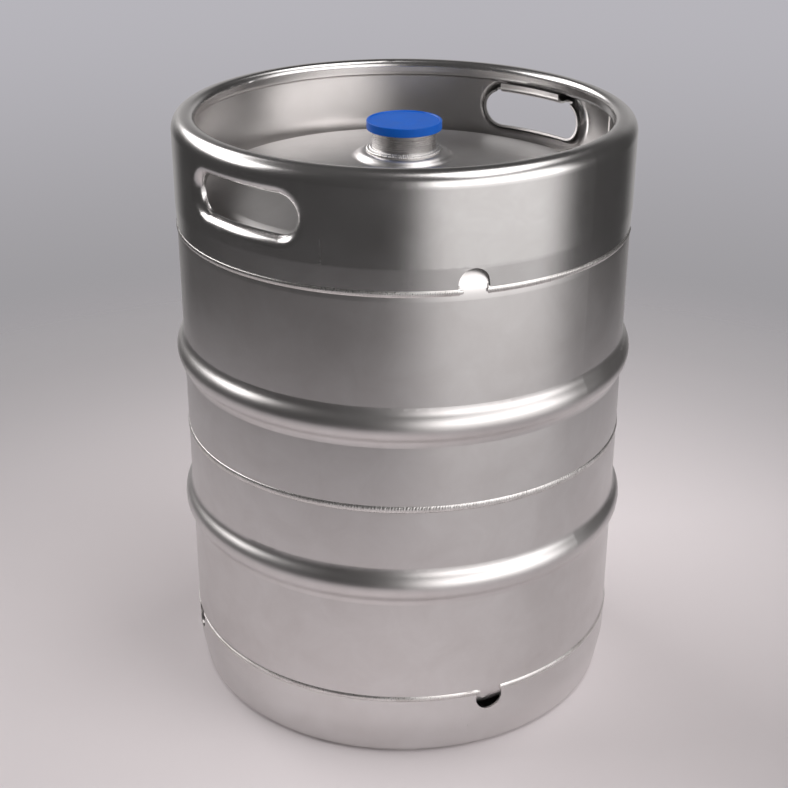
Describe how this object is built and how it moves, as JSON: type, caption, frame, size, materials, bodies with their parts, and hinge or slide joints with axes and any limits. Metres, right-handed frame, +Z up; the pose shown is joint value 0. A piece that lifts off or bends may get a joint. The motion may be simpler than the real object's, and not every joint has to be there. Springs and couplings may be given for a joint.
{
  "type": "beer keg",
  "caption": "Steel beer keg with rolled chimes, hand openings in the top ring, two rolling ribs, a welded neck with a sprung extractor valve, and a blue dust cap.",
  "frame": {"origin": "centre of the foot ring's flat face, on the floor", "axes": "+Z up the keg's axis, the two hand openings on +Y and -Y, +X across them"},
  "size_m": [0.408, 0.408, 0.532],
  "materials": {
    "shell_steel": "satin, pickled",
    "chime_steel": "satin",
    "weld_metal": "rippled weld bead",
    "neck_steel": "machined",
    "valve_steel": "machined",
    "spring_steel": "drawn wire",
    "ball_steel": "polished",
    "seal_rubber": "matte",
    "cap_blue": "satin moulded"
  },
  "bodies": {
    "keg": {"upper_shell": "shell_steel", "lower_shell": "shell_steel", "top_chime": "chime_steel", "bottom_chime": "chime_steel", "centre_weld": "weld_metal", "top_chime_weld": "weld_metal", "bottom_chime_weld": "weld_metal", "neck_weld": "weld_metal", "top_chime_seam": "weld_metal", "bottom_chime_seam": "weld_metal", "neck": "neck_steel", "neck_seal": "seal_rubber", "locking_ring": "spring_steel", "spear_body": "valve_steel", "spear_cage": "valve_steel", "gas_valve_spring": "spring_steel"},
    "dust_cap": {"dust_cap": "cap_blue"},
    "gas_valve": {"gas_valve_seal": "seal_rubber", "gas_valve_core": "valve_steel", "down_tube": "valve_steel", "beer_valve_spring": "spring_steel", "beer_spring_stop": "valve_steel"},
    "beer_valve": {"beer_valve_ball": "ball_steel"}
  },
  "joints": [
    {"name": "cap_lift", "type": "slide", "parent": "keg", "child": "dust_cap", "axis": [0, 0, 1], "range_m": [0, 0.1]},
    {"name": "gas_valve_press", "type": "slide", "parent": "keg", "child": "gas_valve", "axis": [0, 0, -1], "range_m": [0, 0.008], "stiffness_N_per_m": 3000, "springref_m": -0.005, "deforming": ["gas_valve_spring"]},
    {"name": "beer_valve_press", "type": "slide", "parent": "gas_valve", "child": "beer_valve", "axis": [0, 0, -1], "range_m": [0, 0.005], "stiffness_N_per_m": 400, "springref_m": -0.004, "deforming": ["beer_valve_spring"]}
  ]
}
